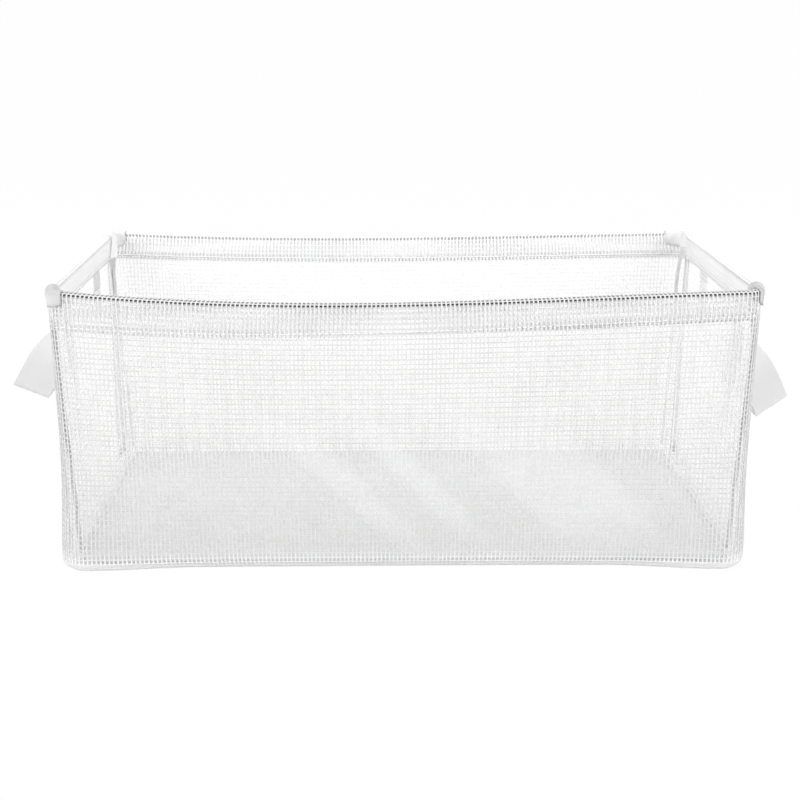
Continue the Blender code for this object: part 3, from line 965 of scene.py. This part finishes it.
def add_corner_covers():
    """White tape over each rim corner, and a sleeve of it round each hook and the top of its post.

    The sleeve is sewn to the hem outside and hangs on its post inside.
    Each profile runs over the wire from outside to inside, in millimetres out from its axis and up from it.
    """
    cap = [(2.5, -7), (2.5, -4.5), (2.5, -2)] + over_rim(2.5) + [(-2.0, -3), (-1.7, -5), (-1.4, -8)]
    crowned = [(2.4, -8), (2.9, -6), (3.9, -2)] + over_rim(3.95) + [(-4.1, -4), (-4.3, -9), (-4.4, -13)]
    over_cap = [(2.75, -8), (2.75, -6), (2.75, -2)] + over_rim(2.75) + [(-2.3, -4), (-1.6, -9), (-1.1, -13)]
    over_hem = [(2.3, -8), (2.3, -6), (2.3, -2)] + over_rim(2.3) + [(-2.0, -4), (-1.3, -9), (-0.8, -13)]
    middle, top_rows, hanging_rows = len(cap) // 2, 5, 3
    cap_columns, sleeve_columns = 14, 10
    for (side_x, side_y), cap_end in CAP_ENDS.items():
        side = "left" if side_x < 0 else "right"
        end = "front" if side_y < 0 else "back"
        # Painted shade on the front corners' tape, painted light on the back corners'
        tape = SHADED_TAPE if side_y < 0 else LIT_TAPE

        def cap_place(column, row):
            share = column / cap_columns
            spot, away = rim_place(side_x, side_y, blend(CAP_START, cap_end, share))
            out, rise = cap[row]
            if abs(row - middle) > top_rows:
                rise *= 1 - 0.3 * share ** 4
            return spot + away * out * MM + Vector((0, 0, rise * MM)), (share * 10, row * 2)

        def sleeve_place(column, row):
            share = 2 * column / sleeve_columns - 1
            crown = smooth(1.3 * (1 - abs(share)))
            plain = over_cap if share > 0 else over_hem
            out, rise = (blend(low, high, crown) * MM for low, high in zip(plain[row], crowned[row]))
            spot, away = rim_place(side_x, side_y, share * SLEEVE_WIDTH / 2)
            if row >= len(plain) - hanging_rows:
                rise *= SLEEVE_DROP_SHARES[side_x, side_y]
            return spot + away * out + Vector((0, 0, rise)), (share * 5, row * 2)

        bm = bmesh.new()
        lay_grid(bm, cap_columns, len(cap) - 1, cap_place)
        finish_piece("_".join(("corner_cap", end, side)), bm, tape, "basket", TAPE_THICKNESS)
        bm = bmesh.new()
        lay_grid(bm, sleeve_columns, len(crowned) - 1, sleeve_place)
        bmesh.ops.recalc_face_normals(bm, faces=bm.faces)
        bmesh.ops.solidify(bm, geom=bm.faces, thickness=TAPE_THICKNESS)
        sleeve = finish_piece("_".join(("hook_sleeve", end, side)), bm, tape, None, sharp=60)
        hook, away = rim_place(side_x, side_y, 0)
        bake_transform(sleeve)


# Wires


def add_wire(name, points, material, body):
    """A round wire along points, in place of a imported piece."""
    curve = bpy.data.curves.new(name, "CURVE")
    curve.dimensions = "3D"
    curve.bevel_depth = WIRE / 2
    curve.bevel_resolution = 4
    curve.use_fill_caps = True
    spline = curve.splines.new("POLY")
    spline.points.add(len(points) - 1)
    for knot, point in zip(spline.points, points):
        knot.co = (*point, 1)
    curve.materials.append(material)
    piece = add_object(name + "_bent", curve)
    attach(piece, body)
    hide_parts(name)


def add_rim():
    """The rim wire, whose long sides sag. The hem hangs from it, so it lies high in the fold.

    Its UV map is the height up the wire's own section and the distance along it.
    """
    points = corner_ring(WIRE_HEIGHT + CLEARANCE, FOLD_RADIUS, steps=12, long_steps=48)
    for point in points:
        point.z -= sag(point.x, point.y)
    count, sides = len(points), 12

    def place(column, row):
        way = points[(row + 1) % count] - points[row % count - 1]
        out = way.cross(Vector((0, 0, 1))).normalized()
        angle = 2 * math.pi * column / sides
        rise = WIRE / 2 * math.sin(angle)
        spot = points[row % count] + out * WIRE / 2 * math.cos(angle) + Vector((0, 0, rise))
        return spot, (rise / MM, row * way.length / 2 / MM)

    bm = bmesh.new()
    lay_grid(bm, sides, count, place)
    bmesh.ops.remove_doubles(bm, verts=bm.verts, dist=WELD)
    bmesh.ops.recalc_face_normals(bm, faces=bm.faces)
    piece = finish_piece("rim_wire_bent", bm, RIM_STEEL, "basket")
    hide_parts("rim_wire")


def frame_leg(side_x, side_y):
    """One leg of an end frame: hook over the rim, post that flares to the bag's corner, bend to the bar."""
    hinge = Vector((outline(WIRE_HEIGHT, FOLD_RADIUS)[0], SEAM_PLACE, WIRE_HEIGHT))
    points = []
    for step in range(24):
        angle = HOOK_WRAP * (1 - step / 24)
        points.append(hinge + HOOK_RADIUS * Vector((-math.cos(angle), 0, math.sin(angle))))
    top = hinge - Vector((HOOK_RADIUS, 0, 0))
    corner = BAR_CORNER + Vector((0, 0, BAR_HEIGHT))
    up = (top - corner).normalized()
    foot = corner + FRAME_BEND * up
    length = (foot - top).length
    for step in range(40):
        down = length * step / 40
        flare = smooth((down - FLARE_START) / FLARE_LENGTH)
        flare *= smooth((length - down) / (length - FLARE_LENGTH))
        points.append(top - up * down + FLARES[side_x, side_y] * flare)
    for step in range(9):
        angle = math.pi / 2 * step / 8
        bend = up * (1 - math.sin(angle)) - Vector((0, 1 - math.cos(angle), 0))
        points.append(corner + FRAME_BEND * bend)
    return [Vector((side_x * point.x, side_y * point.y, point.z)) for point in points]


def add_end_frame(side, side_x):
    """A U-shaped end frame that hangs by two hooks from the rim."""
    points = frame_leg(side_x, -1) + list(reversed(frame_leg(side_x, 1)))
    add_wire(side + "_frame", points, FRAME_STEEL, side + "_frame")


# Strap handles


def tab_place(height):
    """Distance from the middle of a strap's middle surface where it lies flat on an end wall."""
    return outline(height, 0)[0] + SHEET / 2 + CLEARANCE + STRAP_THICKNESS / 2


def curve_point(knots, share):
    """Point on a cubic Bezier curve."""
    first, second, third, last = knots
    rest = 1 - share
    early = first * rest ** 3 + 3 * second * share * rest ** 2
    return early + 3 * third * rest * share ** 2 + last * share ** 3


def leg_stations(side, side_y):
    """Middle points and width directions of one end of a strap, from its sewn head to the grip.

    The strap lies flat on the wall, then turns a quarter twist on its way out to the grip.
    """
    leave = STRAP_LEAVES[side]
    fall = STRAP_FALLS[side]
    out, height = GRIP_PLACES[side]
    away = Vector((math.cos(fall), 0, -math.sin(fall)))
    start = Vector((tab_place(leave), 0, leave))
    end = Vector((out, 0, height))
    knots = (start, start + STRAP_LEAD, end - away * STRAP_WIDTH, end - away * HANDLE_BEND)
    flat = Vector((0, side_y, 0))
    shift = Vector((0, side_y * HANDLE_LEG_PLACE, 0))
    level = Vector((-math.cos(GRIP_TILTS[side]), 0, -math.sin(GRIP_TILTS[side])))
    stations = []
    for step in range(6):
        place = blend(TAB_TOP, leave, step / 6)
        stations.append((Vector((tab_place(place), 0, place)) + shift, flat))
    for step in range(33):
        share = step / 32
        way = (curve_point(knots, share + 0.01) - curve_point(knots, share - 0.01)).normalized()
        turned = Vector((way.z, 0, -way.x)).lerp(level, smooth(2 * share - 1)).normalized()
        twist = math.pi / 2 * smooth(share / TWIST_SHARE)
        across = flat * math.cos(twist) + turned * math.sin(twist)
        stations.append((curve_point(knots, share) + shift, across))
    bend_start, across = stations[-1]
    for step in range(1, 13):
        angle = math.pi / 2 * step / 12
        turn = away * math.sin(angle) - flat * (1 - math.cos(angle))
        stations.append((bend_start + HANDLE_BEND * turn, across))
    return stations


def add_strap(side, sign):
    """One strap: sewn to the wall, out and round to its straight grip, and back to the wall."""
    front = leg_stations(side, -1)
    back = list(reversed(leg_stations(side, 1)))
    (start, level), (end, _) = front[-1], back[0]
    grip = [(start.lerp(end, step / 20), level) for step in range(1, 20)]
    stations = front + grip + back
    lengths = [0]
    for (first, _), (second, _) in zip(stations, stations[1:]):
        lengths.append(lengths[-1] + (second - first).length)
    columns = 10

    def place(column, row):
        point, across = stations[row]
        share = column / columns - 0.5
        spot = point + across * share * STRAP_WIDTH
        return Vector((sign * spot.x, spot.y, spot.z)), (share * STRAP_WIDTH / MM, lengths[row] / MM)

    bm = bmesh.new()
    lay_grid(bm, columns, len(stations) - 1, place)
    bmesh.ops.recalc_face_normals(bm, faces=bm.faces)
    bmesh.ops.solidify(bm, geom=bm.faces, thickness=STRAP_THICKNESS)
    piece = finish_piece(side + "_handle_strap", bm, WEBBING, None, sharp=50)
    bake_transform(piece)
    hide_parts(side + "_handle", side + "_handle_front_tab", side + "_handle_back_tab")
    stitches = add_strap_stitches(side, sign)


def add_strap_stitches(side, sign):
    """A sewn box with a cross on each end of a strap."""
    bm = bmesh.new()
    inner = STRAP_WIDTH / 2 - BOX_MARGIN
    low, high = STRAP_LEAVES[side] + BOX_FOOT, TAB_TOP - BOX_HEAD
    corners = [(-inner, low), (inner, low), (inner, high), (-inner, high)]
    runs = list(zip(corners, corners[1:] + corners[:1]))
    runs += [(corners[0], corners[2]), (corners[1], corners[3])]
    for side_y in (-1, 1):
        for (start_y, start_z), (end_y, end_z) in runs:
            length = math.hypot(end_y - start_y, end_z - start_z)

            def path(distance, lift):
                y = blend(start_y, end_y, distance / length)
                z = blend(start_z, end_z, distance / length)
                return Vector((sign * (tab_place(z) + lift), side_y * HANDLE_LEG_PLACE + y, z))

            add_seam(bm, path, length, STRAP_THICKNESS / 2)
    return finish_piece(side + "_handle_stitches", bm, SEWING, "basket", sharp=0)


# The stage


def seen_directly(tree):
    """One for camera, glossy and transmission rays, which see clean white, and zero for others."""
    path = tree.nodes.new("ShaderNodeLightPath")
    seen = maths(tree, "MAXIMUM", path.outputs["Is Camera Ray"], path.outputs["Is Glossy Ray"])
    return maths(tree, "MAXIMUM", seen, path.outputs["Is Transmission Ray"])


def add_stage():
    """A white floor that sweeps up behind, which shows white to the camera and keeps a soft shadow."""
    material, tree, shader = principled("stage_white", (0.9, 0.9, 0.9), 0.9)
    share = maths(tree, "MULTIPLY", seen_directly(tree), 0.97)
    white = tree.nodes.new("ShaderNodeEmission")
    mix = tree.nodes.new("ShaderNodeMixShader")
    tree.links.new(share, mix.inputs["Fac"])
    tree.links.new(shader.outputs["BSDF"], mix.inputs[1])
    tree.links.new(white.outputs["Emission"], mix.inputs[2])
    tree.links.new(mix.outputs["Shader"], tree.nodes["Material Output"].inputs["Surface"])
    half, front, back, sweep, top = 6, -4, 3, 1.5, 5
    bm = bmesh.new()
    corners = [bm.verts.new((x, y, 0)) for y in (front, back) for x in (-half, half)]
    bm.faces.new((corners[0], corners[1], corners[3], corners[2]))
    edge = bm.edges.get((corners[2], corners[3]))
    turned = bmesh.ops.spin(
        bm, geom=[edge], cent=(0, back, sweep), axis=(1, 0, 0), angle=math.pi / 2, steps=12)
    ends = [part for part in turned["geom_last"] if isinstance(part, bmesh.types.BMEdge)]
    raised = bmesh.ops.extrude_edge_only(bm, edges=ends)
    lifted = [part for part in raised["geom"] if isinstance(part, bmesh.types.BMVert)]
    bmesh.ops.translate(bm, verts=lifted, vec=(0, 0, top))
    add_mesh("stage", bm, material)


def add_lamp(name, place, size, energy):
    """A square softbox that faces the bag."""
    data = bpy.data.lights.new(name, "AREA")
    data.size = size
    data.energy = energy
    lamp = add_object(name, data)
    lamp.location = place
    lamp.rotation_euler = (Vector((0, 0, RIM_HEIGHT / 2)) - Vector(place)).to_track_quat("-Z", "Y").to_euler()


def add_lights():
    """Even white surroundings, an overhead softbox and one at each side of the camera."""
    world = bpy.data.worlds.new("surroundings")
    world.use_nodes = True
    bpy.context.scene.world = world
    tree = world.node_tree
    background = tree.nodes["Background"]
    background.inputs["Color"].default_value = (1, 1, 1, 1)
    tree.links.new(map_range(tree, seen_directly(tree), To_Min=0.7, To_Max=1), background.inputs["Strength"])
    add_lamp("overhead_softbox", (-0.2, 0.3, 1.8), 1.4, 6)
    add_lamp("left_softbox", (-1.8, -1.1, 1.2), 1.2, 30)
    add_lamp("right_softbox", (1.8, -1.1, 1.2), 1.2, 30)


def add_camera():
    """The photograph's camera."""
    data = bpy.data.cameras.new("camera")
    data.lens = FOCAL_LENGTH
    data.sensor_width = SENSOR_WIDTH
    data.clip_start = 0.01
    forward = Vector((
        math.sin(CAMERA_YAW) * math.cos(CAMERA_PITCH),
        math.cos(CAMERA_YAW) * math.cos(CAMERA_PITCH),
        -math.sin(CAMERA_PITCH),
    ))
    right = Vector((math.cos(CAMERA_YAW), -math.sin(CAMERA_YAW), 0))
    up = right.cross(forward)
    across = right * math.cos(CAMERA_ROLL) + up * math.sin(CAMERA_ROLL)
    upward = up * math.cos(CAMERA_ROLL) - right * math.sin(CAMERA_ROLL)
    turned = Matrix((across, upward, -forward)).transposed().to_4x4()
    camera = add_object("camera", data)
    camera.matrix_world = Matrix.Translation(CAMERA_PLACE) @ turned
    bpy.context.scene.camera = camera


def repaint(node, material):
    """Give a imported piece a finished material."""
    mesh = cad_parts[node].data
    mesh.materials.clear()
    mesh.materials.append(material)


for wall in WALLS:
    add_wall(wall)
add_floor_sheet()
add_floor_binding()
add_corner_tapes()
add_corner_covers()
add_rim()
add_end_frame("left", -1)
add_end_frame("right", 1)
add_strap("left", -1)
add_strap("right", 1)
repaint("base_board", BOARD)
add_stage()
add_lights()
add_camera()
bpy.context.scene.view_settings.view_transform = "Standard"
bpy.context.scene.cycles.transparent_max_bounces = 32
